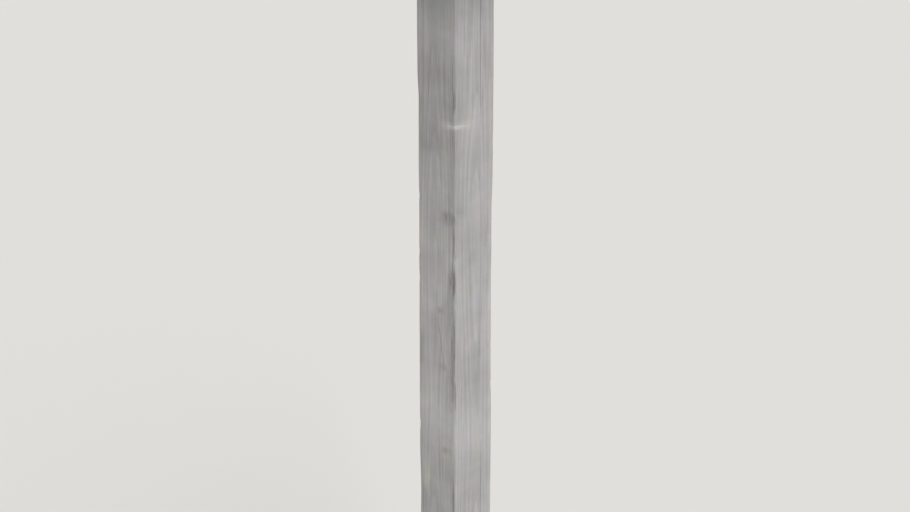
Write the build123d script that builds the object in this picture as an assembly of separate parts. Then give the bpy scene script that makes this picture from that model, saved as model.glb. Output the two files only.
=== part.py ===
from build123d import *
import os
from collections import namedtuple
from math import sqrt

# A square fence post, sawn from one piece of softwood and left outdoors until it turned silver-grey.
# It is one solid. Its origin is the centre of the foot, and +Z runs up the post. The front face looks
# along -Y and the right face along +X, and the long edge between those two is the front arris, the
# edge nearest the eye in the photograph. The weather has torn, split and dented the wood beside it.

# The sawn section and the two ends, in millimetres
post_width = 90.0
post_length = 1800.0
arris_radius = 3.5
end_radius = 1.5

# Marks on a face are placed from the front arris: how far from that edge, and how high above the foot.
# A hollow is as long along the grain as its run, as wide across the face as its width.
Hollow = namedtuple("Hollow", "height run from_arris width depth")
# A crack runs from its low end to its high end, and its bow carries it away from the arris on the way.
Crack = namedtuple("Crack", "low_height low_from_arris high_height high_from_arris bow width depth")

# Splinters torn out of the front face along the arris, from the foot upwards
torn_splinters = [
    Hollow(height=525, run=84, from_arris=7.0, width=12.0, depth=2.0),
    Hollow(height=727, run=62, from_arris=9.5, width=19.0, depth=2.6),
    Hollow(height=806, run=128, from_arris=7.5, width=13.0, depth=2.2),
    Hollow(height=918, run=56, from_arris=8.5, width=17.0, depth=3.2),
    Hollow(height=986, run=64, from_arris=6.0, width=10.0, depth=1.4),
    Hollow(height=1140, run=96, from_arris=5.5, width=8.0, depth=1.2),
    Hollow(height=1221, run=46, from_arris=6.5, width=12.0, depth=2.6),
]
# A small knot, dished where its harder wood has dropped away, beside the arris
knot_dish = Hollow(height=1028, run=20, from_arris=14.0, width=29.0, depth=1.8)
# Small dents in the open part of the front face
front_dents = [
    Hollow(height=614, run=12, from_arris=21.0, width=24.0, depth=1.1),
    Hollow(height=765, run=13, from_arris=30.0, width=24.0, depth=1.0),
    Hollow(height=865, run=11, from_arris=38.0, width=16.0, depth=0.9),
]

# Drying cracks in the front face. Four follow the arris one above the other, each stepping a little to
# the side of the last, and one slants out towards it and frees a sliver between.
front_cracks = [
    Crack(430, 6.0, 572, 7.0, bow=1.0, width=1.2, depth=6.0),
    Crack(690, 7.5, 852, 9.5, bow=1.0, width=1.1, depth=6.0),
    Crack(868, 8.5, 1046, 6.0, bow=-0.8, width=1.2, depth=7.0),
    Crack(1062, 8.0, 1318, 5.5, bow=1.2, width=1.0, depth=6.0),
    Crack(742, 18.0, 884, 41.0, bow=6.0, width=0.9, depth=5.0),
]
# Hairline cracks in the right face, on one line of grain
right_cracks = [
    Crack(392, 61.0, 662, 62.0, bow=1.0, width=0.8, depth=5.0),
    Crack(1158, 59.0, 1476, 58.0, bow=-1.5, width=0.8, depth=5.0),
]
# A crack keeps its full width between its shoulders, this share of its run from either end, and its
# root is this share of its mouth
crack_shoulder = 0.3
crack_root_share = 0.12

# A level groove rubbed by a wire or strap. It is deepest round the arris and fades out across each
# face, at its reach from the arris.
rub_height = 1183.0
rub_width = 5.0
rub_depth = 0.9
rub_reach_front = 26.0
rub_reach_right = 39.0

# How far a cutting tool stands outside the wood, and how far a barrel's ends run past its hollow
tool_proud = 0.5
barrel_overrun = 1.1


def barrel(run, width, depth):
    """A slim barrel along Z. Sunk by depth, it bites a hollow of that run and width: both its round
    section and its bowed side are arcs with that chord and that rise."""
    section_radius = (width**2 / 4 + depth**2) / (2 * depth)
    bow_radius = (run**2 / 4 + depth**2) / (2 * depth)
    half = run / 2 * barrel_overrun
    tip_radius = section_radius - bow_radius + sqrt(bow_radius**2 - half**2)
    profile = Polyline((tip_radius, half), (0, half), (0, -half), (tip_radius, -half))
    profile += ThreePointArc((tip_radius, -half), (section_radius, 0), (tip_radius, half))
    solid = revolve(Plane.XZ * make_face(profile), Axis.Z)
    return solid, section_radius - depth


def front_place(from_arris, height, standoff):
    """A point off the front face, standoff outside it."""
    return Pos(post_width / 2 - from_arris, -post_width / 2 - standoff, height)


def right_place(from_arris, height, standoff):
    """A point off the right face, standoff outside it."""
    return Pos(post_width / 2 + standoff, -post_width / 2 + from_arris, height)


def hollow_tool(hollow, place):
    """The barrel that bites one hollow, with its axis up the post."""
    solid, standoff = barrel(hollow.run, hollow.width, hollow.depth)
    return place(hollow.from_arris, hollow.height, standoff) * solid


def rub_tools():
    """A quarter ring that follows the rounded arris, and a level barrel that carries it out across
    each face. All three have one round section where they meet, at the ends of the rounding."""
    front, standoff = barrel(2 * (rub_reach_front - arris_radius), rub_width, rub_depth)
    right, _ = barrel(2 * (rub_reach_right - arris_radius), rub_width, rub_depth)
    section = Plane.XZ * Pos(arris_radius + standoff, 0) * Circle(standoff + rub_depth)
    quarter_ring = Rot(Z=-90) * revolve(section, Axis.Z, 90)
    return [
        Pos(post_width / 2 - arris_radius, -post_width / 2 + arris_radius, rub_height) * quarter_ring,
        front_place(arris_radius, rub_height, standoff) * Rot(Y=90) * front,
        right_place(arris_radius, rub_height, standoff) * Rot(X=90) * right,
    ]


def crack_tool(crack, plane, away):
    """A slim wedge with flat sides: its mouth is a long six-sided sliver, and its root the same sliver
    made small, so the crack is deepest half way and runs out at both ends. away is +1 or -1, the way
    local X runs from the arris across that face."""
    low = Vector(away * crack.low_from_arris, crack.low_height)
    high = Vector(away * crack.high_from_arris, crack.high_height)
    rise = high - low
    bow = Vector(away * crack.bow, 0)
    bank = Vector(crack.width / 2, 0)
    shoulders = [low + rise * crack_shoulder + bow, high - rise * crack_shoulder + bow]
    mouth = [low] + [p + bank for p in shoulders] + [high] + [p - bank for p in reversed(shoulders)]
    centre = (shoulders[0] + shoulders[1]) / 2
    root = [centre + (p - centre) * crack_root_share for p in mouth]

    def sliver(corners, level):
        return plane * Pos(Z=level) * make_face(Polyline(*corners, close=True))

    return loft([sliver(mouth, tool_proud), sliver(root, -crack.depth)], ruled=True)


def sawn_post():
    """The square section with its worn arrises, run up the post, and both saw-cut ends eased."""
    section = RectangleRounded(post_width, post_width, arris_radius)
    body = extrude(section, post_length)
    ends = body.edges().group_by(Axis.Z)
    return fillet(ends[0] + ends[-1], end_radius)


front_face = Plane(origin=(post_width / 2, -post_width / 2, 0), x_dir=(1, 0, 0), z_dir=(0, -1, 0))
right_face = Plane(origin=(post_width / 2, -post_width / 2, 0), x_dir=(0, 1, 0), z_dir=(1, 0, 0))

post = sawn_post()
for hollow in torn_splinters + [knot_dish] + front_dents:
    post -= hollow_tool(hollow, front_place)
for tool in rub_tools():
    post -= tool
for crack in front_cracks:
    post -= crack_tool(crack, front_face, -1)
for crack in right_cracks:
    post -= crack_tool(crack, right_face, 1)

os.makedirs("parts", exist_ok=True)
export_step(post, "parts/post.step")
print("post", len(post.solids()), "solid,", round(post.volume / 1e6, 3), "litres, valid", post.is_valid)
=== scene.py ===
# %% [markdown]
# A weathered fence post
#
# The real object is one squared length of softwood that has stood outdoors for years. The sun has
# turned it silver-grey, the rain has washed the soft spring wood out from between the harder summer
# wood, and one long edge has split and torn and is darker along its splits. The solid model already
# holds its size and its main marks. This script gives it the surface of old timber: one closed mesh in
# the place of the plain solid, and one material for the weathered wood.

# %% Load the imported post, the fixed frame for everything here
from collections import namedtuple
from math import cos, radians, sin, tau

import bpy
import numpy as np
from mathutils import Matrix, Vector


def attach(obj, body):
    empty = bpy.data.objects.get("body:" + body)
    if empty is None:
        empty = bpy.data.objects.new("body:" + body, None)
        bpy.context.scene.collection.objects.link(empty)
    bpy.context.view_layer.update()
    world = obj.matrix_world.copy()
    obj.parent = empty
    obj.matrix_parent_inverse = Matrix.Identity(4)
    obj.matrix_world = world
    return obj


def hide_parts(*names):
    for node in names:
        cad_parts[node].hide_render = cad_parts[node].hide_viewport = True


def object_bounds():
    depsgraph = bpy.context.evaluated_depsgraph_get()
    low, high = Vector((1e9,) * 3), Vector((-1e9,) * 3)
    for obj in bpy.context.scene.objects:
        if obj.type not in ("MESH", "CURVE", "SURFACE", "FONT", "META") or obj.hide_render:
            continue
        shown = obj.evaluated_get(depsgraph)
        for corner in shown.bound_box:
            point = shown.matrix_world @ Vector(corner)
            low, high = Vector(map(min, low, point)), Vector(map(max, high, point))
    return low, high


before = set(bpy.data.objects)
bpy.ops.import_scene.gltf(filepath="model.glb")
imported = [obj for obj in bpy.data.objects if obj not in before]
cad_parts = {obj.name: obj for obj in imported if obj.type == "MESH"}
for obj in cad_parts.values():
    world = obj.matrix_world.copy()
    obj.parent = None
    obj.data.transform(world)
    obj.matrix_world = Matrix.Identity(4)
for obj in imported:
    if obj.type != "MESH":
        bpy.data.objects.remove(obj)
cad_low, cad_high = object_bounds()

print("the packed post's box, in metres:", tuple(cad_low), tuple(cad_high))

# %% [markdown]
# Sizes
#
# Everything is worked out in millimetres, as a joiner measures, and turned to metres only when it goes
# into the mesh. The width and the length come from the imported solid. The radii and the marks repeat the
# numbers that the solid was cut with, so that the mesh has the same hollows in the same places.
#
# Going round the post, a place is given by one number: how far it is from the left front edge, along
# the sharp square. The front face takes 0 to 90, the right face 90 to 180, then the back and the left.

# %% The sawn section, and marks measured from the front arris
METRES = 0.001
WIDTH = (cad_high.x - cad_low.x) / METRES
LENGTH = (cad_high.z - cad_low.z) / METRES
AROUND = 4 * WIDTH
FRONT_ARRIS = WIDTH
ARRIS_RADIUS = 3.5
END_RADIUS = 1.5

Hollow = namedtuple("Hollow", "height run from_arris width depth dirt")
Crack = namedtuple("Crack", "low low_from_arris high high_from_arris bow width depth")

# The last number is how much the hollow is darkened, from 0 for plain wood to 1 for the full dark grey
TORN_SPLINTERS = [
    Hollow(525, 84, 7.0, 12.0, 2.0, 0.14),
    Hollow(727, 62, 9.5, 19.0, 2.6, 0.24),
    Hollow(806, 128, 7.5, 13.0, 2.2, 0.26),
    Hollow(918, 56, 8.5, 17.0, 3.2, 0.42),
    Hollow(986, 64, 6.0, 10.0, 1.4, 0.14),
    Hollow(1140, 96, 5.5, 8.0, 1.2, 0.10),
    Hollow(1221, 46, 6.5, 12.0, 2.6, 0.16),
]
KNOT = Hollow(1028, 20, 14.0, 29.0, 1.8, 0.3)
DENTS = [
    Hollow(614, 12, 21.0, 24.0, 1.1, 0.16),
    Hollow(765, 13, 30.0, 24.0, 1.0, 0.08),
    Hollow(865, 11, 38.0, 16.0, 0.9, 0.24),
]

ARRIS_CRACKS = [
    Crack(430, 6.0, 572, 7.0, 1.0, 1.2, 6.0),
    Crack(690, 7.5, 852, 9.5, 1.0, 1.1, 6.0),
    Crack(868, 8.5, 1046, 6.0, -0.8, 1.2, 7.0),
    Crack(1062, 8.0, 1318, 5.5, 1.2, 1.0, 6.0),
]
SLANTING_CRACKS = [Crack(742, 18.0, 884, 41.0, 6.0, 0.9, 5.0)]
RIGHT_CRACKS = [
    Crack(392, 61.0, 662, 62.0, 1.0, 0.8, 5.0),
    Crack(1158, 59.0, 1476, 58.0, -1.5, 0.8, 5.0),
]
# A crack is as wide as it gets between its shoulders, which lie this share of its run from either end,
# and its root is this share of its mouth
CRACK_SHOULDER = 0.3
CRACK_ROOT_SHARE = 0.12

# A level groove, rubbed by a wire or strap round the arris, which fades out across each face
RUB_HEIGHT = 1183.0
RUB_WIDTH = 5.0
RUB_DEPTH = 0.9
RUB_REACH_FRONT = 26.0
RUB_REACH_RIGHT = 39.0

print(f"a post {WIDTH:.1f} mm square and {LENGTH:.0f} mm long, with {len(TORN_SPLINTERS)} torn splinters")

# %% [markdown]
# Smooth chance
#
# Wood is never regular, but its unevenness is smooth and runs with the grain. A lattice of random
# numbers, blended smoothly between its points, gives that. Blender's noise for scripts could too, but
# it takes one point at a time, and here a whole array is worked out at once. The lattice closes on
# itself round the post, so there is no seam, and each one has its own seed, so every run gives the same
# post.

# %% A smooth random field round and along the post
def eased(share):
    """The smooth step 3 t squared minus 2 t cubed, of a share held between 0 and 1."""
    t = np.clip(share, 0.0, 1.0)
    return t * t * (3.0 - 2.0 * t)


def chance(around, height, cell_around, cell_height, seed):
    """Random values from -1 to 1 on a lattice of the given cell, in millimetres, and between its points
    the bilinear mean of the four nearest, with eased shares."""
    columns = max(3, round(AROUND / cell_around))
    rows = int(LENGTH / cell_height) + 4
    lattice = np.random.default_rng(seed).uniform(-1.0, 1.0, (rows, columns))
    across = np.mod(around, AROUND) / AROUND * columns
    along = height / cell_height + 1.0
    i, j = np.floor(along).astype(int), np.floor(across).astype(int)
    up, right = eased(along - i), eased(across - j)
    i, j = np.clip(i, 0, rows - 2), j % columns
    low = lattice[i, j] * (1 - right) + lattice[i, (j + 1) % columns] * right
    high = lattice[i + 1, j] * (1 - right) + lattice[i + 1, (j + 1) % columns] * right
    return low * (1 - up) + high * up


def layered_chance(around, height, cell_around, cell_height, seed, layers=3):
    """Fields added up, each with cells half the size and half the strength of the one before, and the
    sum divided by the sum of their strengths."""
    parts = [chance(around, height, cell_around / 2**k, cell_height / 2**k, seed + k) / 2**k
             for k in range(layers)]
    return sum(parts) / (2 - 0.5 ** (layers - 1))


sample = layered_chance(np.linspace(0, AROUND, 500)[None, :], np.linspace(0, LENGTH, 300)[:, None],
                        cell_around=30, cell_height=200, seed=1)
print(f"a sample field runs from {sample.min():.2f} to {sample.max():.2f}")

# %% [markdown]
# Where the vertices stand
#
# The mesh is one grid. Its columns run up the post and its rows go round it. Columns are close together
# by the front arris, where the damage is, and wider apart on the hidden faces. A crack is far narrower
# than a column, so each line of cracks has a sheaf of fine columns of its own, and the sheaf leans and
# bends with the crack. The columns between two such lines share out the room that is left. An evenly
# divided block would be simpler, but it would need many times the faces to show a crack 1 mm wide.

# %% How many columns there are
# The columns of a sheaf, in millimetres to either side of their crack
SHEAF = np.array([-1.4, -0.95, -0.6, -0.35, -0.15, 0.0, 0.15, 0.35, 0.6, 0.95, 1.4])
# How many columns fill each stretch between two stations. A wide stretch has about its width in
# millimetres over the pitch wanted there.
FINE_PITCH, PLAIN_PITCH, HIDDEN_PITCH = 0.85, 1.4, 1.75
ROUNDING_COLUMNS = 4
ARRIS_STRIP_COLUMNS = 3
OPEN_FRONT_COLUMNS = round(50 / PLAIN_PITCH)
CRACKED_FRONT_COLUMNS = round(24 / FINE_PITCH)
NEAR_RIGHT_COLUMNS = round(54 / PLAIN_PITCH)
FAR_RIGHT_COLUMNS = round(26 / PLAIN_PITCH)
HIDDEN_COLUMNS = round(83 / HIDDEN_PITCH)
print(f"{OPEN_FRONT_COLUMNS} columns in the open front, {HIDDEN_COLUMNS} on each hidden face")


# %% The line that a row of cracks follows
def crack_line(cracks, heights, side):
    """Where a line of cracks runs, as a place round the post for each height. Each crack goes from its
    low end to its high end by way of its two shoulders, which its bow moves sideways, and between two
    cracks the line is straight. side is -1 on the front face and +1 on the right face."""
    stops, places = [], []
    for crack in cracks:
        rise = crack.high - crack.low
        shift = crack.high_from_arris - crack.low_from_arris
        for share, bow in ((0.0, 0.0), (CRACK_SHOULDER, 1.0), (1 - CRACK_SHOULDER, 1.0), (1.0, 0.0)):
            stops.append(crack.low + share * rise)
            places.append(crack.low_from_arris + share * shift + bow * crack.bow)
    return FRONT_ARRIS + side * np.interp(heights, stops, places)


print("the cracks by the arris, at 0.5 and 1 m:", crack_line(ARRIS_CRACKS, [500, 1000], -1).round(1))

# %% How the long edges are worn
# Stretches where an arris is worn rounder, or is crisper where the number is negative. Arris 0 is the
# left front one, and 1, 2 and 3 are the next ones round the post.
Worn = namedtuple("Worn", "arris height run by")
WORN_STRETCHES = [
    Worn(0, 525, 90, 2.4),
    Worn(0, 605, 60, -1.2),
    Worn(0, 675, 90, -1.0),
    Worn(0, 860, 240, 1.8),
    Worn(0, 1110, 320, 2.8),
    Worn(0, 1155, 90, 1.8),
    Worn(0, 1218, 56, 3.0),
    Worn(0, 1345, 150, -1.1),
    Worn(2, 790, 200, 2.2),
    Worn(2, 925, 290, 4.2),
    Worn(2, 1035, 50, 1.8),
]
# What chance adds to a radius: how many millimetres, and over what run. A bruise comes only where its
# chance passes a level. Each arris has its share of all that, and the front arris the least.
SLOW_WEAR, SLOW_RUN = 1.1, 170
QUICK_WEAR, QUICK_RUN = 0.5, 38
BRUISE_WEAR, BRUISE_RUN, BRUISE_LEVEL = 5.0, 24, 0.55
WEAR_SHARES = np.array([1.0, 0.35, 1.0, 1.0])
LEAST_RADIUS, MOST_RADIUS = 2.4, 9.0


def arris_radii(heights):
    """The worn radius of the four arrises at each height: the sawn radius, a slow and a quick chance
    change, a few bruises, and the worn stretches, each a bell over its run."""
    place = np.arange(4) * WIDTH + np.zeros((len(heights), 1))
    h = heights[:, None]
    slow = SLOW_WEAR * chance(place, h, WIDTH, SLOW_RUN, 11)
    quick = QUICK_WEAR * chance(place, h, WIDTH, QUICK_RUN, 12)
    bruise = BRUISE_WEAR * np.clip(chance(place, h, WIDTH, BRUISE_RUN, 13) - BRUISE_LEVEL, 0, None)
    radii = ARRIS_RADIUS + WEAR_SHARES * (slow + quick + bruise)
    for worn in WORN_STRETCHES:
        radii[:, worn.arris] += worn.by * np.exp(-(((heights - worn.height) / (worn.run / 2)) ** 2))
    return np.clip(radii, LEAST_RADIUS, MOST_RADIUS)


print("radii of the long edges at 0.9 m:", arris_radii(np.array([900.0]))[0].round(1))


# %% Each column's place
def column_places(heights):
    """Each column's place round the post at each height. The columns are shared out evenly between
    stations, and a station is an arris, an end of its rounding or an edge of a sheaf. Where a station
    moves with the height, the columns between it and the next move in proportion."""
    radius = arris_radii(heights)
    slanting = crack_line(SLANTING_CRACKS, heights, -1)
    by_arris = crack_line(ARRIS_CRACKS, heights, -1)
    on_right = crack_line(RIGHT_CRACKS, heights, 1)
    edges = [np.full(len(heights), k * WIDTH) for k in range(5)]
    starts = [edges[k] - radius[:, k % 4] for k in range(5)]
    ends = [edges[k] + radius[:, k % 4] for k in range(5)]
    spans = [
        (edges[0], ends[0], ROUNDING_COLUMNS),
        (ends[0], slanting + SHEAF[0], OPEN_FRONT_COLUMNS),
        (slanting, None, SHEAF),
        (slanting + SHEAF[-1], by_arris + SHEAF[0], CRACKED_FRONT_COLUMNS),
        (by_arris, None, SHEAF),
        (by_arris + SHEAF[-1], starts[1], ARRIS_STRIP_COLUMNS),
        (starts[1], edges[1], ROUNDING_COLUMNS),
        (edges[1], ends[1], ROUNDING_COLUMNS),
        (ends[1], on_right + SHEAF[0], NEAR_RIGHT_COLUMNS),
        (on_right, None, SHEAF),
        (on_right + SHEAF[-1], starts[2], FAR_RIGHT_COLUMNS),
    ]
    for k in (2, 3):
        spans += [
            (starts[k], edges[k], ROUNDING_COLUMNS),
            (edges[k], ends[k], ROUNDING_COLUMNS),
            (ends[k], starts[k + 1], HIDDEN_COLUMNS),
        ]
    spans.append((starts[4], edges[4], ROUNDING_COLUMNS))
    parts = []
    for start, end, steps in spans:
        if end is None:
            parts.append(start[:, None] + steps[None, :-1])
        else:
            share = np.arange(steps) / steps
            parts.append(start[:, None] * (1 - share) + end[:, None] * share)
    return np.concatenate(parts, axis=1), radius


# %% Rows, from the middle of the foot, up the sides, to the middle of the top
ROW_PITCH = 7.9
CAP_RINGS = 14
EASING_STEPS = 4
# Extra rows across each short mark and each tip of a torn hollow. They reach this share of its run to
# either side of its middle.
RUB_ROWS, KNOT_ROWS, DENT_ROWS, TIP_ROWS = 19, 9, 6, 3
RUB_RUN, TIP_RUN = 3 * RUB_WIDTH, 12.0
EXTRA_REACH = 0.62


def row_heights():
    """Heights of the rows up the sides. They are evenly spaced, with more across the rub mark, the
    knot, the dents and the tips of the torn hollows, and none comes twice within 0.01 mm."""
    even = np.linspace(END_RADIUS, LENGTH - END_RADIUS, round(LENGTH / ROW_PITCH))
    marks = [(RUB_HEIGHT, RUB_RUN, RUB_ROWS), (KNOT.height, KNOT.run, KNOT_ROWS)]
    marks += [(dent.height, dent.run, DENT_ROWS) for dent in DENTS]
    marks += [(torn.height + end * torn.run / 2, TIP_RUN, TIP_ROWS)
              for torn in TORN_SPLINTERS for end in (-1, 1)]
    extra = [height + np.linspace(-EXTRA_REACH, EXTRA_REACH, steps) * run for height, run, steps in marks]
    return np.unique(np.round(np.concatenate([even, *extra]), 2))


sides = row_heights()
turn = np.linspace(0, tau / 4, EASING_STEPS + 1)[:-1]
rings = np.arange(1, CAP_RINGS) / CAP_RINGS
row_height = np.concatenate([
    np.zeros(CAP_RINGS - 1), END_RADIUS * (1 - np.cos(turn)), sides,
    LENGTH - END_RADIUS * (1 - np.cos(turn[::-1])), np.full(CAP_RINGS - 1, LENGTH)])
row_inset = np.concatenate([
    np.full(CAP_RINGS - 1, END_RADIUS), END_RADIUS * (1 - np.sin(turn)), np.zeros(len(sides)),
    END_RADIUS * (1 - np.sin(turn[::-1])), np.full(CAP_RINGS - 1, END_RADIUS)])
row_shrink = np.concatenate([rings, np.ones(len(row_height) - 2 * len(rings)), rings[::-1]])
on_end = row_shrink < 1

around, radius = column_places(row_height)
height = np.repeat(row_height[:, None], around.shape[1], axis=1)
print(f"{around.shape[0]} rows of {around.shape[1]} columns, {2 * around.size} triangles")

# %% [markdown]
# The growth rings
#
# The post holds the heart of a small tree. Each year's ring is a cone round the pith, so on a flat sawn
# face the rings come out as long arches in the middle and close lines at the sides. One formula gives
# the rings for the whole post: how far a point lies from the pith, plus a little for the taper of the
# trunk and for its unevenness, divided by the width of a ring. The mesh keeps the three parts of that
# sum as an attribute, so the material can draw the same rings that the relief is cut with. A wave
# texture could draw rings too, but they would not lie in the hollows of the relief.

# %% The distance from the pith, and the ring that a point lies in
RING_WIDTH = 3.4
TRUNK_TAPER = 0.008
# Some years are wide and some narrow: a sine of this many rings moves a ring by this share of its width
RING_RHYTHM, RING_SWING = 4.3, 0.3
# How far a ring wanders in and out, in millimetres, in slow and in quick waves round the pith. At the
# last number's distance from the pith it is half of that, and nearer less.
SLOW_UNEVEN, QUICK_UNEVEN, UNEVEN_FROM = 1.5, 0.45, 12.0

# The pith's place across the post at the foot, how far it leans by the top, and the bend, turns and
# start of a sine
Pith = namedtuple("Pith", "foot lean bend turns start")
PITH_X = Pith(-9.0, 5.0, 2.5, 2.0, 0.6)
PITH_Y = Pith(7.0, -6.0, 2.0, 2.6, 2.1)


def pith_place(pith, height):
    """Where the pith runs, as a straight line plus a sine, from foot to top."""
    share = height / LENGTH
    return pith.foot + pith.lean * share + pith.bend * np.sin(tau * share * pith.turns + pith.start)


def from_pith(x, y, z):
    """The offset from the pith across the post, and the change in distance that taper and unevenness
    bring."""
    dx, dy = x - pith_place(PITH_X, z), y - pith_place(PITH_Y, z)
    distance = np.hypot(dx, dy)
    direction = np.mod(np.arctan2(dy, dx) / tau, 1.0) * AROUND
    slow = SLOW_UNEVEN * chance(direction, z, 45, 420, 21)
    quick = QUICK_UNEVEN * chance(direction, z, 18, 150, 22)
    return dx, dy, TRUNK_TAPER * z + (slow + quick) * distance / (distance + UNEVEN_FROM)


def ring_number(dx, dy, change):
    """Rings counted from the pith, with the slow sine that makes some years wide and some narrow."""
    even = (np.hypot(dx, dy) + change) / RING_WIDTH
    return even + RING_SWING * np.sin(tau * even / RING_RHYTHM)


# Shares of a year: when its ridge starts to rise, for how long, when it starts to drop and for how long
RISE_AT, RISE_FOR, DROP_AT, DROP_FOR = 0.2, 0.62, 0.9, 0.1


def ring_ridge(number):
    """How proud the wood stands, from 0 in washed-out spring wood to 1 on hard summer wood. It rises
    slowly through the year and drops at once where the next year starts."""
    year = np.mod(number, 1.0)
    return eased((year - RISE_AT) / RISE_FOR) * (1 - eased((year - DROP_AT) / DROP_FOR))


# %% [markdown]
# The section and its marks
#
# The square with rounded corners is a function of two parameters, the place round the post and the
# height. The weather only takes wood away, so every change moves a point inwards: erosion along the
# surface's own normal, and the hollows and cracks straight in from the face they lie in, as a depth
# below that face. Where several marks overlap, the deepest wins. The marks could be cut with the
# Boolean modifier or sculpted, but depths keep the grid whole, and one number moves a mark.

# %% The rounded square
def section(around, radius):
    """Points and outward normals of the square. On a flat, the point lies half a width out from the
    axis. In a corner it lies on an arc of that corner's radius, and the place round the post sets the
    angle, from 0 at the end of the flat to 45 degrees on the arris."""
    half = WIDTH / 2
    face = np.floor(around / WIDTH).astype(int) % 4
    along = np.mod(around, WIDTH)
    start = np.take_along_axis(radius, face, axis=1)
    end = np.take_along_axis(radius, (face + 1) % 4, axis=1)
    near_start, near_end = along < start, along > WIDTH - end
    corner = near_start | near_end
    r = np.where(near_start, start, end)
    share = np.where(near_start, along / start - 1, np.where(near_end, 1 - (WIDTH - along) / end, 0.0))
    lean = share * tau / 8
    across = np.where(corner, np.sign(along - half) * (half - r) + r * np.sin(lean), along - half)
    out = np.where(corner, half - r + r * np.cos(lean), half)
    turn_x, turn_y = np.array([1, 0, -1, 0])[face], np.array([0, 1, 0, -1])[face]

    def turned(across, out):
        """Steps across a face and out of it as x and y."""
        return np.stack([across * turn_x + out * turn_y, across * turn_y - out * turn_x], axis=-1)

    return turned(across, out), turned(np.sin(lean), np.cos(lean))


# %% Hollows and cracks as depths below a face
def barrel_depth(across, along, width, run, depth):
    """The hollow that a slim barrel bites. The barrel's section is a circle that is the hollow's width
    across where it is the hollow's depth deep, and its side is an arc that fades over the run."""
    section_radius = (width**2 / 4 + depth**2) / (2 * depth)
    bow_radius = (run**2 / 4 + depth**2) / (2 * depth)
    girth = section_radius - bow_radius + np.sqrt(np.clip(bow_radius**2 - along**2, 0, None))
    inside = (np.abs(across) < girth) & (np.abs(along) < run)
    bite = np.sqrt(np.clip(girth**2 - across**2, 0, None)) - (section_radius - depth)
    return np.where(inside, np.clip(bite, 0, None), 0.0)


# The edge of a torn hollow wanders so many millimetres, and its bed steps by this share of its depth.
# Every splinter has two seeds of its own, from this one on.
TORN_WANDER, TORN_STEP = 0.7, 0.38
TORN_SEED = 101
# How wide a crack's mouth is, as a share of its width, and how much chance adds to that or takes off
MOUTH_OPEN, MOUTH_CHANGE = 0.8, 0.35


def chance_up(height, cell_height, seed, place):
    """Random values from -1 to 1 that change only with the height, read at one place round the post."""
    return chance(np.full_like(height, place), height, WIDTH, cell_height, seed)


def torn_depth(from_arris, height, hollow, seed):
    """A barrel's hollow with the bed of torn wood: its edges wander, and streaks along the grain make
    its bed step up and down."""
    wander = TORN_WANDER * chance_up(height, 17, seed, place=5.0)
    streak = chance(from_arris, height, 1.9, 52, seed + 1)
    smooth = barrel_depth(from_arris - hollow.from_arris + wander, height - hollow.height, hollow.width,
                          hollow.run, hollow.depth)
    return smooth * (1 + TORN_STEP * streak)


def crack_depth(place, height, crack, side):
    """A wedge whose mouth is a long six-sided sliver. The gauge is 0 on the crack's middle and 1 on its
    mouth's outline, and the depth falls evenly with it. Chance makes the mouth narrower in most places,
    as wood closes again in wet weather. The crack's low end gives its seed."""
    middle = crack_line([crack], height, side)
    along = np.abs(height - (crack.low + crack.high) / 2) / ((crack.high - crack.low) / 2)
    ragged = MOUTH_OPEN + MOUTH_CHANGE * chance_up(height, 31, int(crack.low), place=9.0)
    across = np.abs(place - middle) / (crack.width / 2 * ragged)
    slope = 2 * CRACK_SHOULDER
    gauge = np.maximum(across, along + slope * across)
    return crack.depth * np.clip((1 - gauge) / (1 - CRACK_ROOT_SHARE), 0, 1)


def front_depth(x, around, height):
    """The depth of the deepest mark in the front face, of the deepest hollow and of the deepest crack."""
    from_arris = WIDTH / 2 - x
    hollows = [torn_depth(from_arris, height, torn, TORN_SEED + 2 * k)
               for k, torn in enumerate(TORN_SPLINTERS)]
    hollows += [barrel_depth(from_arris - dish.from_arris, height - dish.height, dish.width, dish.run,
                             dish.depth) for dish in [KNOT, *DENTS]]
    cracks = [crack_depth(around, height, each, -1) for each in ARRIS_CRACKS + SLANTING_CRACKS]
    hollow, crack = np.max(hollows, axis=0), np.max(cracks, axis=0)
    return np.stack([np.maximum(hollow, crack), hollow, crack])


def rub_depth(around, height):
    """The level groove, measured in from the surface itself. It keeps its full depth round the arris
    and fades across each face as a barrel does."""
    off = around - FRONT_ARRIS
    reach = np.where(off < 0, RUB_REACH_FRONT, RUB_REACH_RIGHT) - ARRIS_RADIUS
    along = np.clip(np.abs(off) - ARRIS_RADIUS, 0, None)
    return barrel_depth(height - RUB_HEIGHT, along, RUB_WIDTH, 2 * reach, RUB_DEPTH)


# %% [markdown]
# The weathered surface
#
# Rain cuts the spring wood back by about 0.2 mm and leaves the summer wood standing.
# On top of that, the surface is fibrous along the grain and waves gently, because the wood has shrunk
# unevenly. A Displace modifier could raise and lower it by a texture, but the rings are known here, and
# so the ridges fall on them. The ends are plain saw cuts, and the rings stand proud there as well.

# %% All the wood that the weather has taken
# How deep the spring wood, the fibres and the waves go, in millimetres
RELIEF = 0.2
FIBRES = 0.14
WAVES = 0.35
# The share of all that which shows in torn hollows and on the sawn ends
IN_HOLLOWS, ON_ENDS = 0.6, 0.25

point, normal = section(around, radius)
point = point - normal * row_inset[:, None, None]
point = point * row_shrink[:, None, None]
pith_x, pith_y, pith_change = from_pith(point[..., 0], point[..., 1], height)
ridge = ring_ridge(ring_number(pith_x, pith_y, pith_change))
fibre = 0.5 + 0.5 * layered_chance(around, height, 3.2, 130, 31, layers=2)
wave = 0.5 + 0.5 * layered_chance(around, height, 40, 260, 35, layers=2)
erosion = RELIEF * (1 - ridge) + FIBRES * fibre + WAVES * wave

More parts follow.
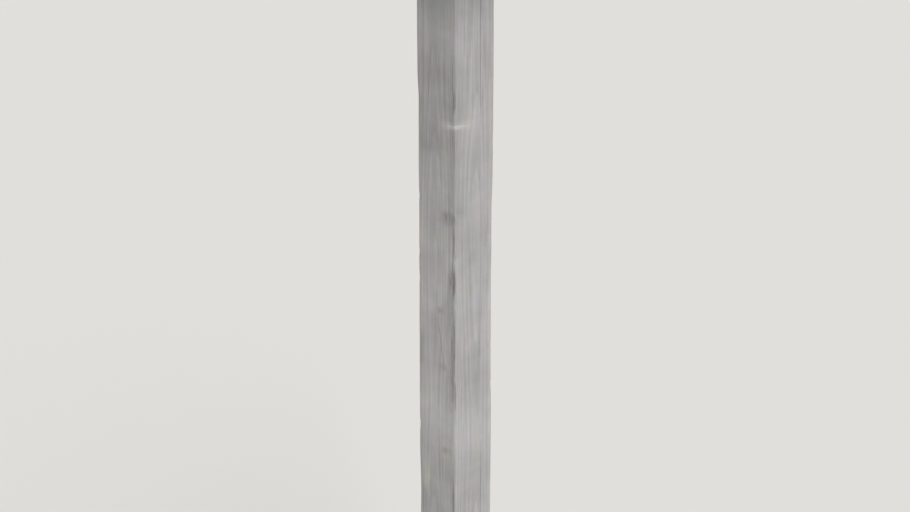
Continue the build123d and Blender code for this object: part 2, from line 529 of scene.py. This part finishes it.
rub = np.where(on_end[:, None], 0.0, rub_depth(around, height))
point = point - normal * np.where(on_end[:, None], 0.0, erosion + rub)[..., None]

on_front = (~on_end)[:, None] & (around < FRONT_ARRIS + ARRIS_RADIUS)
all_marks, hollow, crack = front_depth(point[..., 0], around, height) * on_front
sunk = np.maximum(point[..., 1] + WIDTH / 2, all_marks + IN_HOLLOWS * erosion * (hollow > 0))
point[..., 1] = np.where(on_front, sunk - WIDTH / 2, point[..., 1])

on_right = (~on_end)[:, None] & (around > FRONT_ARRIS) & (around < 2 * WIDTH)
right_crack = np.max([crack_depth(around, height, each, 1) for each in RIGHT_CRACKS], axis=0) * on_right
point[..., 0] = point[..., 0] - right_crack

saw_cut = np.where(on_end[:, None], ON_ENDS * erosion, 0.0)
lift = height + np.where(height < LENGTH / 2, saw_cut, -saw_cut)
print(f"erosion {erosion.min():.2f} to {erosion.max():.2f} mm, deepest mark {all_marks.max():.1f} mm")

# %% [markdown]
# What the material needs to know
#
# Some things belong to a place on this post and not to the wood as such: darker colour in and around
# the torn hollows and cracks, the pale wood where the groove was rubbed, a film of green algae in the
# damper spots, the broad soft stains of rain, and a few spots of painted light: paler where the mesh
# shades a hollow, the knot and a crack, and a painted highlight along the right back arris. They could
# be painted on by hand. Here they are worked out for each vertex, and the mesh carries them as
# attributes, which need no picture and move with the marks when a size changes.

# %% Where the stains, the painted light and the algae are
# A spot is a soft oval. Its place across is measured from the front arris, minus on the front face and
# plus on the right face. Its strength is how much darker or paler it makes the wood, as a share, or for
# algae how thick the film is. A few pale spots are painted light over shade that the mesh casts, and
# one is a painted highlight; each is marked where it stands.
Spot = namedtuple("Spot", "height across run width strength")
FRONT_STAINS_AND_PAINTED_LIGHT = [
    Spot(1530, -45, 360, 150, -0.18),
    Spot(1385, -74, 44, 30, -0.14),
    Spot(1345, -1, 130, 12, -0.07),
    Spot(1330, -53, 30, 30, 0.04),
    Spot(1328, -18, 14, 30, 0.06),
    Spot(1324, -46, 46, 80, 0.09),
    Spot(1315, -8, 90, 34, 0.03),
    Spot(1290, -45, 330, 120, -0.11),
    Spot(1286, -20, 50, 36, 0.08),
    Spot(1268, -50, 50, 90, -0.12),
    Spot(1212, -81, 50, 12, -0.11),
    Spot(1205, -45, 70, 110, -0.04),
    Spot(1203, -11, 34, 22, -0.06),
    Spot(1160, -60, 50, 60, -0.06),
    Spot(1145, -45, 30, 100, -0.10),
    Spot(1128, -48, 34, 90, -0.05),
    Spot(1075, -50, 70, 90, 0.05),
    Spot(1062, -10, 44, 26, -0.06),
    Spot(1057, -57, 14, 18, -0.06),
    # Painted light: paler over the upper half of the knot's dish, which faces down and lies in shade
    Spot(1042, -22, 12, 24, 0.09),
    Spot(1028, -32, 34, 60, -0.05),
    Spot(1019, -16, 14, 34, -0.06),
    Spot(985, -45, 60, 110, 0.08),
    # Painted light: paler over the upper end of the torn hollow at 918 mm, lessening its shade
    Spot(947, -12, 34, 28, 0.17),
    Spot(892, -50, 60, 100, 0.13),
    Spot(868, -12, 34, 22, -0.10),
    Spot(866, -53, 26, 18, 0.11),
    Spot(825, -29, 80, 16, 0.06),
    Spot(815, -38, 60, 20, -0.03),
    Spot(775, -80, 90, 14, -0.18),
    Spot(774, -22, 66, 26, 0.075),
    Spot(768, -38, 20, 12, -0.08),
    Spot(715, -4, 36, 12, 0.12),
    Spot(690, -45, 100, 120, 0.18),
    Spot(652, -2, 26, 9, 0.07),
    Spot(617, -6, 36, 12, 0.07),
    Spot(585, -86, 150, 16, -0.08),
    Spot(574, -30, 44, 44, -0.08),
    Spot(530, -45, 60, 120, -0.03),
    Spot(518, -80, 80, 14, -0.15),
    Spot(518, -25, 50, 16, 0.06),
    Spot(516, -14, 40, 44, 0.05),
    Spot(500, -45, 50, 120, -0.08),
]
RIGHT_STAINS_AND_PAINTED_LIGHT = [
    Spot(1520, 50, 330, 150, -0.16),
    Spot(1398, 54, 80, 110, -0.13),
    Spot(1388, 14, 50, 20, 0.06),
    Spot(1375, 44, 26, 30, -0.05),
    Spot(1360, 59, 80, 16, -0.07),
    Spot(1283, 13, 90, 24, 0.09),
    Spot(1270, 65, 50, 24, -0.04),
    # Painted light: paler along the crack on the right face, lessening the shade in it
    Spot(1245, 57, 70, 10, 0.05),
    Spot(1207, 12, 26, 20, -0.06),
    Spot(1178, 34, 24, 60, 0.04),
    Spot(1120, 5, 420, 28, -0.04),
    Spot(1112, 67, 50, 24, -0.04),
    Spot(1105, 8, 60, 34, 0.035),
    Spot(1079, 0, 20, 9, -0.10),
    Spot(1052, 10, 5, 20, 0.05),
    Spot(1042, 9, 16, 20, -0.08),
    Spot(1005, 4, 26, 44, -0.04),
    Spot(985, 50, 56, 90, -0.06),
    Spot(958, 46, 26, 34, -0.07),
    Spot(930, 4, 100, 14, 0.07),
    Spot(865, 45, 130, 110, 0.04),
    Spot(842, 4, 30, 22, 0.065),
    Spot(816, 52, 34, 22, 0.08),
    # A painted highlight: a pale line along the right back arris
    Spot(800, 80, 400, 12, 0.12),
    Spot(738, 45, 90, 100, -0.09),
    Spot(716, 12, 44, 20, -0.08),
    Spot(645, 45, 84, 110, 0.10),
    Spot(640, 5, 70, 20, 0.03),
    Spot(545, 45, 90, 110, -0.04),
]
ALGAE = [
    Spot(1155, 14, 24, 30, 0.2),
    Spot(1138, -20, 24, 40, 0.3),
    Spot(985, -82, 40, 12, 0.7),
    Spot(550, -72, 40, 14, 1.2),
    Spot(548, -48, 30, 20, 0.3),
]
# Where the silver is purplish, or greenish where the strength is negative, and where it is warm or cool
PURPLISH = [
    Spot(1345, -45, 90, 110, -0.25),
    Spot(1262, -45, 60, 110, -0.17),
    Spot(1150, -45, 60, 110, -0.22),
    Spot(1042, -30, 30, 80, 0.17),
    Spot(975, -45, 50, 110, -0.16),
    Spot(868, -12, 44, 26, 0.3),
    Spot(675, -45, 50, 110, -0.14),
    Spot(1345, 45, 90, 110, 0.18),
    Spot(1212, 45, 80, 110, 0.16),
    Spot(795, 45, 30, 110, 0.2),
]
WARM = [
    Spot(1270, -50, 60, 90, 0.23),
    Spot(1078, -40, 60, 100, -0.2),
    Spot(655, -45, 40, 100, -0.18),
    Spot(1345, 45, 80, 110, -0.2),
    Spot(905, 45, 30, 110, 0.25),
    Spot(795, 45, 30, 110, -0.2),
    Spot(665, 45, 40, 110, -0.25),
]

# %% The spots as soft bells
# A spot's outline is drawn in and out by this share of its half width, and streaks of rain change the
# wood by this share
OUTLINE_DRIFT = 0.3
RAIN_STREAK = 0.03


def soft_spots(spots, around, height):
    """The spots added up. Each is a bell over its oval: the exponential of minus the squared distance
    from its middle, counted in half widths and half runs. Chance draws the outlines in and out."""
    shift = OUTLINE_DRIFT * layered_chance(around, height, 26, 40, 41, layers=2)
    total = np.zeros(around.shape)
    for spot in spots:
        off = np.mod(around - FRONT_ARRIS - spot.across + AROUND / 2, AROUND) - AROUND / 2
        across, along = off / (spot.width / 2) + shift, (height - spot.height) / (spot.run / 2) - shift
        total = total + spot.strength * np.exp(-(across**2) - along**2)
    return total


rain = RAIN_STREAK * layered_chance(around, height, 60, 240, 43)
tone = rain + soft_spots(FRONT_STAINS_AND_PAINTED_LIGHT + RIGHT_STAINS_AND_PAINTED_LIGHT, around, height)
algae = np.clip(soft_spots(ALGAE, around, height), 0, 1)
purplish = soft_spots(PURPLISH, around, height)
warm = soft_spots(WARM, around, height)
print(f"stains run from {tone.min():.2f} to {tone.max():.2f}, algae up to {algae.max():.2f}")

# %% Darker colour in and around the hollows and cracks, and pale wood where it was rubbed
# A faint darker strip along the cracked arris, and the run over which it fades in at a crack's ends
STRIP_DARKENING, STRIP_MIDDLE, STRIP_WIDTH, STRIP_FADE = 0.09, 7.0, 14.0, 60
# The darkening reaches past a hollow's outline, and streaks and specks make it stronger and weaker by a
# share
DARKENING_SPREAD, DARKENING_STREAK, DARKENING_SPECK = 1.12, 0.4, 0.25
# Cracks are darkened this much from this depth on
CRACK_DARKENING, CRACK_DARKENING_DEPTH = 0.06, 1.5
# The pale band lies just below the groove's middle. It is wider away from the arris, by a share of the
# distance, and reaches this many times as far as the groove.
RUBBED_MIDDLE = RUB_HEIGHT - 1.4
RUBBED_HALF, RUBBED_SPREAD, RUBBED_REACH, RUBBED_STREAK = 3.8, 0.13, 1.7, 0.25


def marks_darkening(around, height):
    """Darkening over each hollow as a bell with a flat top, the exponential of minus the distance cubed,
    and a faint darker strip along the cracked arris. Streaks along the grain break it up."""
    from_arris = FRONT_ARRIS - around
    beside = np.exp(-(((from_arris - STRIP_MIDDLE) / (STRIP_WIDTH / 2)) ** 2))
    cracked = sum(eased((height - crack.low) / STRIP_FADE) * eased((crack.high - height) / STRIP_FADE)
                  for crack in ARRIS_CRACKS)
    dirt = STRIP_DARKENING * beside * cracked
    for hollow in [*TORN_SPLINTERS, KNOT, *DENTS]:
        across = np.abs(from_arris - hollow.from_arris) / (DARKENING_SPREAD * hollow.width / 2)
        along = np.abs(height - hollow.height) / (DARKENING_SPREAD * hollow.run / 2)
        dirt = np.maximum(dirt, hollow.dirt * np.exp(-(across**3) - along**3))
    streaks = DARKENING_STREAK * chance(around, height, 2.6, 60, 51)
    specks = DARKENING_SPECK * chance(around, height, 9, 22, 52)
    return dirt * (1 + streaks + specks)


def rubbed_share(around, height):
    """How far the weathered skin is rubbed away: a flat-topped bell over the groove's height, which
    spreads away from the arris and fades along each face to somewhat past the groove's end."""
    off = around - FRONT_ARRIS
    reach = RUBBED_REACH * np.where(off < 0, RUB_REACH_FRONT, RUB_REACH_RIGHT)
    fade = 1 - eased(np.clip(np.abs(off) - ARRIS_RADIUS, 0, None) / reach)
    half = RUBBED_HALF + RUBBED_SPREAD * np.abs(off)
    over = np.exp(-np.abs((height - RUBBED_MIDDLE) / half) ** 3)
    return over * fade * (1 + RUBBED_STREAK * chance(around, height, 5, 60, 53))


# Darker colour in the cracks, more where deeper, added to the darkening of the hollows and the arris
crack_darkening = CRACK_DARKENING * np.clip(np.maximum(crack, right_crack) / CRACK_DARKENING_DEPTH, 0, 1)
dirt = marks_darkening(around, height) + crack_darkening
fresh = rubbed_share(around, height)
print(f"dirt up to {dirt.max():.2f}, rubbed wood up to {fresh.max():.2f}")

# %% [markdown]
# One closed mesh
#
# Row after row, the grid goes from the middle of the foot out to its rim, up the sides, and in to the
# middle of the top. The last column joins the first, and a fan of triangles closes each middle. Every
# four neighbours make one face, and all of them turn the same way, so they point outwards. bmesh could
# add them one by one, but the whole list of corners comes straight from the numbers of the grid.

# %% Put the grid into a mesh
# Where two faces meet at more than this angle, as at a crack's lip, the edge is drawn sharp
SHARP_ANGLE = radians(38)

rows, columns = around.shape
grid = np.concatenate([point, lift[..., None]], axis=-1).reshape(-1, 3)
poles = np.array([[0.0, 0.0, 0.0], [0.0, 0.0, LENGTH]])
vertices = np.concatenate([grid, poles]) * METRES

index = np.arange(rows * columns).reshape(rows, columns)
after = np.roll(index, -1, axis=1)
quads = np.stack([index[:-1], after[:-1], after[1:], index[1:]], axis=-1).reshape(-1, 4)
foot_fan = np.stack([after[0], index[0], np.full(columns, rows * columns)], axis=-1)
top_fan = np.stack([index[-1], after[-1], np.full(columns, rows * columns + 1)], axis=-1)

mesh = bpy.data.meshes.new("weathered_post")
mesh.from_pydata(vertices.tolist(), [], quads.tolist() + foot_fan.tolist() + top_fan.tolist())
mesh.set_sharp_from_angle(angle=SHARP_ANGLE)
post = bpy.data.objects.new("weathered_post", mesh)
bpy.context.scene.collection.objects.link(post)
mended = mesh.validate()
print(f"{len(mesh.vertices)} vertices, {2 * len(quads) + 2 * columns} triangles, mended: {mended}")

# %% [markdown]
# Laid out flat
#
# When the material is baked into a picture, the picture needs a flat layout of the mesh. The four sides
# are unrolled into one sheet with a single seam, on the left front edge, and the two sawn ends lie
# beside it. Across the sheet a pixel is worth less than half a millimetre, because the grain is fine
# that way, and along it more. An automatic layout would cut the sides into many islands, and their
# seams would run across the grain.

# %% A flat layout for baking
SHEET_CORNER, SHEET_SIZE = np.array([0.01, 0.01]), np.array([0.83, 0.98])
FOOT_CORNER, TOP_CORNER, END_SIZE = np.array([0.86, 0.03]), np.array([0.86, 0.8]), np.array([0.12, 0.12])


def corners_of(places, after_places):
    """The four corners of each face of the grid, in the same order as its vertices."""
    return np.stack([places[:-1], after_places[:-1], after_places[1:], places[1:]], axis=2)


steps_up = np.hypot(np.diff(row_height), np.diff(row_inset))
up_the_side = np.concatenate([[0.0], np.cumsum(steps_up)]) / steps_up.sum()
up_the_side = np.broadcast_to(up_the_side[:, None], around.shape)
after_around = np.concatenate([around[:, 1:], around[:, :1] + AROUND], axis=1)
layout = SHEET_CORNER + SHEET_SIZE * corners_of(
    np.stack([around / AROUND, up_the_side], axis=-1),
    np.stack([after_around / AROUND, up_the_side], axis=-1))
flat = point[..., :2] / WIDTH + 0.5
foot, top = FOOT_CORNER + END_SIZE * flat, TOP_CORNER + END_SIZE * flat
after_foot, after_top = np.roll(foot, -1, axis=1), np.roll(top, -1, axis=1)
layout[:CAP_RINGS - 1] = corners_of(foot, after_foot)[:CAP_RINGS - 1]
layout[1 - CAP_RINGS:] = corners_of(top, after_top)[1 - CAP_RINGS:]
foot_middle = np.broadcast_to(FOOT_CORNER + END_SIZE / 2, foot[0].shape)
top_middle = np.broadcast_to(TOP_CORNER + END_SIZE / 2, top[0].shape)
foot_layout = np.stack([after_foot[0], foot[0], foot_middle], axis=1)
top_layout = np.stack([top[-1], after_top[-1], top_middle], axis=1)
layout = np.concatenate([part.reshape(-1, 2) for part in (layout, foot_layout, top_layout)])
mesh.uv_layers.new(name="OFBake").uv.foreach_set("vector", layout.astype(np.float32).ravel())
print(f"laid out flat, from {layout.min(axis=0).round(3)} to {layout.max(axis=0).round(3)}")

# %% Give it its attributes
# The end grain starts where the easing of an end has come in by this share of its radius
END_GRAIN_INSET = 0.6

pith_offset = np.stack([pith_x, pith_y, pith_change], axis=-1).reshape(-1, 3)
pole_pith = np.stack(from_pith(np.zeros(2), np.zeros(2), np.array([0.0, LENGTH])), axis=-1)
pith_offset = np.concatenate([pith_offset, pole_pith])


def give(name, values, pole_value=0.0):
    """A number for each vertex of the grid, and one for the two poles."""
    attribute = mesh.attributes.new(name, "FLOAT", "POINT")
    attribute.data.foreach_set("value", np.append(values.ravel(), [pole_value] * 2).astype(np.float32))


mesh.attributes.new("from_pith", "FLOAT_VECTOR", "POINT").data.foreach_set("vector", pith_offset.ravel())
give("dirt", np.where(on_end[:, None], 0.0, dirt))
give("fresh", np.where(on_end[:, None], 0.0, fresh))
give("tone", tone)
give("algae", algae)
give("purplish", purplish)
give("warm", warm)
end_grain = np.where(row_inset > END_GRAIN_INSET * END_RADIUS, 1.0, 0.0)
give("end_grain", np.repeat(end_grain[:, None], columns, axis=1), pole_value=1.0)
print("attributes:", [name for name in mesh.attributes.keys() if not name.startswith(".")])

# %% [markdown]
# Weathered softwood
#
# The real finish is bare pine or spruce, sawn and never painted. Ultraviolet light breaks down the
# brown lignin at the surface, rain washes it away, and the white cellulose that is left looks silver
# with a little grey mould in it. It is quite matt. To the eye that gives a pale neutral grey, slightly
# warmer and slightly cooler in broad patches, with fine darker lines along the grain where the spring
# wood has gone, hairline checks, and a darker colour in and around the hollows. A true fibre is a
# twentieth of a millimetre wide and would not show, so the fibres here are drawn about 1 and 3 mm wide.
#
# A picture of old boards could be wrapped round the post, but it would repeat, and its knots and cracks
# would lie elsewhere than the real ones. Noise stretched along the grain, the rings and the attributes
# are laid over each other instead, from the broad patches down to the fibres.

# %% Colours, and the one function that adds a node
def linear(hex_colour):
    """An sRGB colour such as #AABBCC as linear red, green, blue and alpha."""
    srgb = np.array([int(hex_colour[i:i + 2], 16) / 255 for i in (1, 3, 5)])
    light = np.where(srgb <= 0.04045, srgb / 12.92, ((srgb + 0.055) / 1.055) ** 2.4)
    return (*light.tolist(), 1.0)


GREENISH_SILVER = linear("#A9ABA9")
PURPLISH_SILVER = linear("#AFABAF")
WARM_SILVER = linear("#B3AEA9")
WASHED_OUT = linear("#989796")
# The dark warm grey that the hollows, the cracks and the cracked arris are darkened towards
DARK_WARM_GREY = linear("#4E4B45")
ALGAE_GREEN = linear("#BFBCAB")
RUBBED = linear("#C2C0BC")
END_GREY = linear("#8F8B86")


def add(tree, kind, settings=(), inputs=()):
    """Adds a node, sets its settings, and fills its inputs. An input gets a value, or a link from
    another node's output."""
    node = tree.nodes.new("ShaderNode" + kind)
    for name, value in dict(settings).items():
        setattr(node, name, value)
    for name, value in dict(inputs).items():
        if isinstance(value, bpy.types.NodeSocket):
            tree.links.new(value, node.inputs[name])
        else:
            node.inputs[name].default_value = value
    return node


print("warm silver in linear light:", [round(c, 3) for c in WARM_SILVER[:3]])

# %% Noise that runs with the grain
PER_METRE = 1 / METRES


def grain_noise(tree, place, across, along, detail, roughness=0.5):
    """Noise whose cells are so many millimetres across the post and along it."""
    scale = (PER_METRE / across, PER_METRE / across, PER_METRE / along)
    mapping = add(tree, "Mapping", inputs={"Vector": place, "Scale": scale})
    noise = add(tree, "TexNoise", inputs={"Vector": mapping.outputs["Vector"], "Scale": 1.0,
                                          "Detail": detail, "Roughness": roughness})
    return noise.outputs["Fac"]


# How strong the fine fibres are beside the coarse ones
FINE_WEIGHT = 1.8


def fibres_and_checks(tree, place):
    """Coarse fibres, coarse and fine ones added up, and hairline checks, which open where a noise along
    the grain passes a level."""
    coarse = grain_noise(tree, place, 3.0, 150, 3, 0.6)
    fine = grain_noise(tree, place, 1.0, 70, 2)
    fibres = add(tree, "Math", {"operation": "MULTIPLY_ADD"},
                 {0: fine, 1: FINE_WEIGHT, 2: coarse}).outputs[0]
    checks = grain_noise(tree, place, 1.7, 85, 1)
    opened = add(tree, "MapRange", inputs={"Value": checks, "From Min": 0.72, "From Max": 0.75})
    return coarse, fibres, opened.outputs[0]


# %% The rings again, and the colour of the wood
# Shares of a year and how proud the wood stands there, from 0 to 1
YEAR_STOPS = ((0.0, 0.15), (0.2, 0.35), (0.82, 1.0), (0.93, 0.9), (1.0, 0.15))


def ring_levels(tree):
    """How proud the wood stands, with the rings counted by the same formula as for the relief."""
    offset = add(tree, "Attribute", {"attribute_name": "from_pith"}).outputs["Vector"]
    parts = add(tree, "SeparateXYZ", inputs={"Vector": offset}).outputs
    flat = add(tree, "CombineXYZ", inputs={"X": parts["X"], "Y": parts["Y"]}).outputs["Vector"]
    distance = add(tree, "VectorMath", {"operation": "LENGTH"}, {0: flat}).outputs["Value"]
    reach = add(tree, "Math", {"operation": "ADD"}, {0: distance, 1: parts["Z"]}).outputs[0]
    even = add(tree, "Math", {"operation": "DIVIDE"}, {0: reach, 1: RING_WIDTH}).outputs[0]
    angle = add(tree, "Math", {"operation": "MULTIPLY"}, {0: even, 1: tau / RING_RHYTHM}).outputs[0]
    swing = add(tree, "Math", {"operation": "SINE"}, {0: angle}).outputs[0]
    number = add(tree, "Math", {"operation": "MULTIPLY_ADD"}, {0: swing, 1: RING_SWING, 2: even}).outputs[0]
    year = add(tree, "Math", {"operation": "FRACT"}, {0: number}).outputs[0]
    levels = add(tree, "ValToRGB", inputs={"Fac": year})
    levels.color_ramp.interpolation = "EASE"
    for stop, _ in YEAR_STOPS[1:-1]:
        levels.color_ramp.elements.new(stop)
    for element, (_, level) in zip(levels.color_ramp.elements, YEAR_STOPS):
        element.color = (level, level, level, 1)
    return levels.outputs["Color"]


def silver_wood(tree, place, ridge, purplish, warm):
    """Silver in broad greenish, purplish and warm patches, washed out in the lines between ridges."""
    patches = grain_noise(tree, place, 30, 34, 3)
    hue = add(tree, "MapRange", inputs={"Value": patches, "From Min": 0.35, "From Max": 0.65}).outputs[0]
    hue = add(tree, "Math", {"operation": "ADD", "use_clamp": True}, {0: hue, 1: purplish}).outputs[0]
    silver = add(tree, "Mix", {"data_type": "RGBA"},
                 {0: hue, 6: GREENISH_SILVER, 7: PURPLISH_SILVER}).outputs[2]
    warmer = grain_noise(tree, place, 24, 120, 3)
    warmth = add(tree, "MapRange", inputs={"Value": warmer, "From Min": 0.42, "From Max": 0.7,
                                           "To Max": 0.45}).outputs[0]
    warmth = add(tree, "Math", {"operation": "ADD", "use_clamp": True}, {0: warmth, 1: warm}).outputs[0]
    silver = add(tree, "Mix", {"data_type": "RGBA"}, {0: warmth, 6: silver, 7: WARM_SILVER}).outputs[2]
    valley = add(tree, "MapRange", inputs={"Value": ridge, "To Min": 0.55, "To Max": 0.0}).outputs[0]
    return add(tree, "Mix", {"data_type": "RGBA"}, {0: valley, 6: silver, 7: WASHED_OUT}).outputs[2]


# %% The weathered wood material
# How much darker a hairline check is
CHECK_SHADE = 0.26
# How much of the wood each thing hides at its thickest
ALGAE_COVER, DARKENING_COVER, RUBBED_COVER = 0.5, 1.0, 0.62
# How high the bump makes a change of 1 in the noise
BUMP_HEIGHT = 0.25 * METRES


def weathered_softwood():
    """Silver-grey wood with rings, fibres, checks, stains, painted light and darker hollows and cracks."""
    material = bpy.data.materials.new("weathered_softwood")
    material.use_nodes = True
    tree = material.node_tree
    tree.nodes.clear()
    place = add(tree, "TexCoord").outputs["Object"]
    dirt, fresh, tone, algae, purplish, warm, end_grain = (
        add(tree, "Attribute", {"attribute_name": name}).outputs["Fac"] for name in
        ("dirt", "fresh", "tone", "algae", "purplish", "warm", "end_grain"))
    ridge = ring_levels(tree)
    coarse, fibres, open_check = fibres_and_checks(tree, place)
    wood = silver_wood(tree, place, ridge, purplish, warm)

    # Streaks of rain along the grain, fibres, and checks
    runs = grain_noise(tree, place, 9.0, 330, 2)
    thin = add(tree, "MapRange", inputs={"Value": fibres, "From Min": 0.9, "From Max": 1.9,
                                         "To Min": 0.9, "To Max": 1.1}).outputs[0]
    broad = add(tree, "MapRange", inputs={"Value": runs, "From Min": 0.25, "From Max": 0.75,
                                          "To Min": 0.94, "To Max": 1.06}).outputs[0]
    streaks = add(tree, "Math", {"operation": "MULTIPLY"}, {0: thin, 1: broad}).outputs[0]
    check_shade = add(tree, "Math", {"operation": "MULTIPLY_ADD"},
                      {0: open_check, 1: -CHECK_SHADE, 2: 1.0}).outputs[0]

    # Clouds of grey, where rain dried unevenly, on top of the post's own stains and painted light
    clouds = grain_noise(tree, place, 46, 36, 3, 0.65)
    cloudy = add(tree, "MapRange", inputs={"Value": clouds, "From Min": 0.25, "From Max": 0.75,
                                           "To Min": 0.935, "To Max": 1.065}).outputs[0]
    stained = add(tree, "Math", {"operation": "ADD"}, {0: tone, 1: cloudy}).outputs[0]
    shade = add(tree, "Math", {"operation": "MULTIPLY"}, {0: streaks, 1: check_shade}).outputs[0]
    shade = add(tree, "Math", {"operation": "MULTIPLY"}, {0: shade, 1: stained}).outputs[0]
    wood = add(tree, "VectorMath", {"operation": "SCALE"}, {0: wood, "Scale": shade}).outputs[0]

    # The sawn ends: darker, with their rings drawn more strongly
    ring_dark = add(tree, "MapRange", inputs={"Value": ridge, "To Min": 1.14, "To Max": 0.64}).outputs[0]
    pores = add(tree, "Math", {"operation": "MULTIPLY"}, {0: ring_dark, 1: streaks}).outputs[0]
    end_wood = add(tree, "VectorMath", {"operation": "SCALE"}, {0: END_GREY[:3], "Scale": pores}).outputs[0]
    wood = add(tree, "Mix", {"data_type": "RGBA"}, {0: end_grain, 6: wood, 7: end_wood}).outputs[2]

    # Algae as a thin film, darker hollows and cracks, both thicker here and there, and the rubbed groove
    grit = grain_noise(tree, place, 3.5, 16, 4)
    patchy = add(tree, "MapRange", inputs={"Value": grit, "From Min": 0.3, "From Max": 0.7,
                                           "To Min": 0.65, "To Max": 1.35}).outputs[0]
    for layer, most, colour in ((algae, ALGAE_COVER, ALGAE_GREEN), (dirt, DARKENING_COVER, DARK_WARM_GREY),
                                (fresh, RUBBED_COVER, RUBBED)):
        cover = add(tree, "Math", {"operation": "MULTIPLY"}, {0: layer, 1: most}).outputs[0]
        cover = add(tree, "Math", {"operation": "MULTIPLY", "use_clamp": True},
                    {0: cover, 1: patchy}).outputs[0]
        wood = add(tree, "Mix", {"data_type": "RGBA"}, {0: cover, 6: wood, 7: colour}).outputs[2]

    # Fine relief that the mesh is too coarse for
    relief = add(tree, "Math", {"operation": "SUBTRACT"}, {0: fibres, 1: open_check}).outputs[0]
    bump = add(tree, "Bump", inputs={"Strength": 0.6, "Distance": BUMP_HEIGHT, "Height": relief}).outputs[0]
    matt = add(tree, "MapRange", inputs={"Value": coarse, "To Min": 0.96, "To Max": 0.8}).outputs[0]
    surface = add(tree, "BsdfPrincipled", inputs={"Base Color": wood, "Roughness": matt, "Normal": bump,
                                                  "IOR": 1.45, "Specular IOR Level": 0.25})
    add(tree, "OutputMaterial", inputs={"Surface": surface.outputs["BSDF"]})
    print(f"{material.name}: {len(tree.nodes)} nodes")
    return material


mesh.materials.append(weathered_softwood())
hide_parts("post")
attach(post, "root")

# %% [markdown]
# A plain studio
#
# The post stands on a pale floor that runs to the horizon. A large soft lamp on the right lights the
# right face, weaker ones from the left and from behind open the other faces, and the sky fills the
# rest, so that the right face renders at about the colour written and the front face with a quarter
# less light, as in the photograph. Area lamps could be used, but they light what is near them more.
# Suns with a wide disc light the whole height evenly and keep soft shadows.

# %% The floor
FLOOR_HALF = 40.0
PALE = linear("#DAD8D4")


def flat_material(name, colour):
    """A matt paint of one colour, for the studio floor."""
    material = bpy.data.materials.new(name)
    material.use_nodes = True
    surface = material.node_tree.nodes["Principled BSDF"]
    surface.inputs["Base Color"].default_value = colour
    surface.inputs["Roughness"].default_value = 0.95
    surface.inputs["Specular IOR Level"].default_value = 0.0
    return material


corners = FLOOR_HALF * np.array([[-1, -1, 0], [1, -1, 0], [1, 1, 0], [-1, 1, 0]])
floor_mesh = bpy.data.meshes.new("studio_floor")
floor_mesh.from_pydata(corners.tolist(), [], [(0, 1, 2, 3)])
floor_mesh.materials.append(flat_material("matt_pale_paint", PALE))
floor = bpy.data.objects.new("studio_floor", floor_mesh)
bpy.context.scene.collection.objects.link(floor)
print(f"a floor {2 * FLOOR_HALF:.0f} m square")

# %% The sky
# What the camera and reflections see behind the post, and how strongly the sky lights the post
BACKDROP, SKY_LEVEL = linear("#DEDDD9"), 0.42

world = bpy.data.worlds.new("studio_sky")
bpy.context.scene.world = world
world.use_nodes = True
sky = world.node_tree
sky.nodes.clear()
seen = add(sky, "LightPath").outputs["Is Camera Ray"]
glossy = add(sky, "LightPath").outputs["Is Glossy Ray"]
shown = add(sky, "Math", {"operation": "MAXIMUM"}, {0: seen, 1: glossy}).outputs[0]
backdrop = add(sky, "Background", inputs={"Color": BACKDROP, "Strength": 1.0}).outputs[0]
fill = add(sky, "Background", inputs={"Color": (1.0, 1.0, 1.0, 1.0), "Strength": SKY_LEVEL}).outputs[0]
both = add(sky, "MixShader", inputs={0: shown, 1: fill, 2: backdrop}).outputs[0]
add(sky, "OutputWorld", inputs={"Surface": both})
print(f"{world.name}: {len(sky.nodes)} nodes")


# %% The lamps
def soft_sun(name, level, towards, disc=35.0):
    """A lamp that lights a white surface facing it to that level, for which a sun needs pi times the
    level. It is seen from the post in the direction towards, with a disc of so many degrees."""
    lamp = bpy.data.lights.new(name, "SUN")
    lamp.energy = level * tau / 2
    lamp.angle = radians(disc)
    holder = bpy.data.objects.new(name, lamp)
    holder.rotation_euler = Vector(towards).to_track_quat("Z", "Y").to_euler()
    bpy.context.scene.collection.objects.link(holder)


soft_sun("key_from_the_right", 0.61, (0.78, -0.16, 0.62))
soft_sun("fill_from_the_left", 0.16, (-0.45, -0.75, 0.5))
soft_sun("light_from_behind", 0.38, (-0.2, 0.82, 0.52))

# %% [markdown]
# The camera
#
# The photograph looks at the post corner-on, with both arrises of the near faces the same distance
# away, and slightly down, because the post narrows a little from the top of the picture to the bottom.
# Both ends are outside the frame.

# %% The camera, at the photograph's viewing angle
PHOTO_WIDTH, FOCAL_PIXELS, SENSOR = 910, 1400.0, 36.0
AZIMUTH, LOOKS_DOWN = radians(45.0), radians(15.9)
AIM = Vector((-0.0005, -0.0005, 0.95))
DISTANCE = 2.36

lens = bpy.data.cameras.new("photograph_view")
lens.sensor_width = SENSOR
lens.lens = FOCAL_PIXELS / PHOTO_WIDTH * SENSOR
camera = bpy.data.objects.new("photograph_view", lens)
bpy.context.scene.collection.objects.link(camera)
back = Vector((sin(AZIMUTH) * cos(LOOKS_DOWN), -cos(AZIMUTH) * cos(LOOKS_DOWN), sin(LOOKS_DOWN)))
camera.location = AIM + back * DISTANCE
camera.rotation_euler = back.to_track_quat("Z", "Y").to_euler()
bpy.context.scene.camera = camera
bpy.context.scene.view_settings.view_transform = "Standard"
print(f"camera at {tuple(round(c, 3) for c in camera.location)}, lens {lens.lens:.1f} mm")
